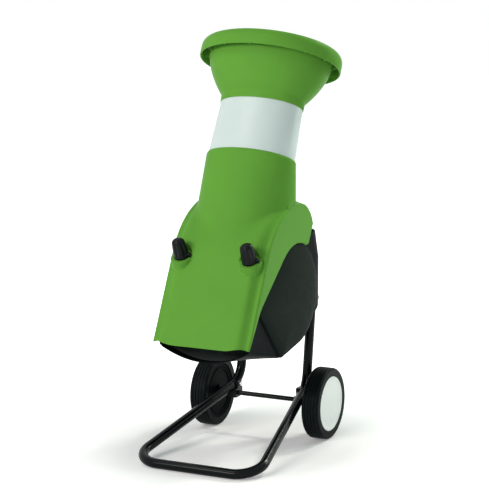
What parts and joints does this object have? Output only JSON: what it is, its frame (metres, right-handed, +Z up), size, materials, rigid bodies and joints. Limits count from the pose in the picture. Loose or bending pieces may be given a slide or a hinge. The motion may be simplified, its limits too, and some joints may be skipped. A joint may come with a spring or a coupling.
{
  "type": "garden shredder",
  "caption": "Garden shredder on a wheeled tube frame: an oval hopper leans over a domed base and tips back on a rear hinge to bare the cutting disc.",
  "frame": {"origin": "on the floor, under the middle of the box round the whole machine", "axes": "+X to the right-hand wheel, -Y to the discharge front, +Z up"},
  "size_m": [0.484, 0.7813, 1.3692],
  "materials": {
    "green_plastic": "moulded, semi-gloss",
    "milky_plastic": "milky, semi-gloss",
    "charcoal_plastic": "fine grain",
    "black_plastic": "satin",
    "black_paint": "gloss powder coat",
    "steel": "bright",
    "tyre_black": "moulded, matt",
    "white_plastic": "smooth",
    "motor_metal": "cast",
    "stator_metal": "laminated",
    "switch_green": "smooth",
    "button_red": "smooth"
  },
  "bodies": {
    "chassis": {"front_foot": "black_paint", "left_leg": "black_paint", "right_leg": "black_paint", "axle": "black_paint", "axle_brackets": "black_paint", "axle_spacers": "black_paint", "axle_retainers": "steel", "frame_bolts": "steel", "upright_bolts": "steel", "base_housing": "black_plastic", "left_side_panel": "charcoal_plastic", "right_side_panel": "charcoal_plastic", "rear_deck": "black_plastic", "rear_cover": "black_plastic", "switch_housing": "black_plastic", "mains_inlet": "black_plastic", "hinge_bracket": "black_plastic", "hinge_pin": "steel", "knob_sockets": "black_plastic", "motor_plate": "steel", "chute_plate": "black_plastic", "motor_can": "motor_metal", "motor_end_cap": "motor_metal", "stator_core": "stator_metal", "motor_bearings": "steel", "motor_bolts": "steel", "run_capacitor": "white_plastic", "chamber_ring": "steel", "safety_switch": "black_plastic"},
    "left_wheel": {"left_tyre": "tyre_black", "left_wheel_core": "black_plastic", "left_hub_cap": "white_plastic"},
    "right_wheel": {"right_tyre": "tyre_black", "right_wheel_core": "black_plastic", "right_hub_cap": "white_plastic"},
    "rotor": {"rotor_shaft": "steel", "rotor_core": "steel", "cooling_fan": "black_plastic", "blade_disc": "steel", "blades": "steel", "blade_screws": "steel", "blade_bolt": "steel"},
    "hopper": {"upper_housing": "green_plastic", "knob_seats": "green_plastic", "feed_tube": "milky_plastic", "hopper_bowl": "green_plastic", "feed_throat": "black_plastic", "chamber_cover": "black_plastic", "hinge_leaf": "green_plastic"},
    "left_clamp": {"left_knob": "black_plastic", "left_knob_screw": "steel"},
    "right_clamp": {"right_knob": "black_plastic", "right_knob_screw": "steel"},
    "rocker": {"switch_rocker": "switch_green"},
    "reset": {"reset_button": "button_red"},
    "interlock": {"safety_plunger": "white_plastic"}
  },
  "joints": [
    {"name": "left_wheel_spin", "type": "hinge", "parent": "chassis", "child": "left_wheel", "pos_m": [-0.207, 0.17633, 0.12], "axis": [1, 0, 0], "continuous": true},
    {"name": "right_wheel_spin", "type": "hinge", "parent": "chassis", "child": "right_wheel", "pos_m": [0.207, 0.17633, 0.12], "axis": [1, 0, 0], "continuous": true},
    {"name": "rotor_spin", "type": "hinge", "parent": "chassis", "child": "rotor", "pos_m": [0, -0.04866, 0.56], "axis": [0, 0, 1], "continuous": true},
    {"name": "hopper_tilt", "type": "hinge", "parent": "chassis", "child": "hopper", "pos_m": [0, 0.20633, 0.7], "axis": [-1, 0, 0], "range_deg": [0, 65]},
    {"name": "left_knob_turn", "type": "hinge", "parent": "hopper", "child": "left_clamp", "pos_m": [-0.1205, -0.20866, 0.657], "axis": [0, -0.4337, 0.9011], "continuous": true},
    {"name": "right_knob_turn", "type": "hinge", "parent": "hopper", "child": "right_clamp", "pos_m": [0.1205, -0.20866, 0.657], "axis": [0, -0.4337, 0.9011], "continuous": true},
    {"name": "switch_tip", "type": "hinge", "parent": "chassis", "child": "rocker", "pos_m": [0, 0.32633, 0.614], "axis": [1, 0, 0], "range_deg": [-8, 8]},
    {"name": "reset_press", "type": "slide", "parent": "chassis", "child": "reset", "axis": [0, -1, 0], "range_m": [0, 0.003], "stiffness_N_per_m": 400},
    {"name": "interlock_rise", "type": "slide", "parent": "chassis", "child": "interlock", "axis": [0, 0, 1], "range_m": [0, 0.004]}
  ],
  "couplings": [
    {"joint": "interlock_rise", "follows": "hopper_tilt", "m_per_rad": 0.003526}
  ]
}
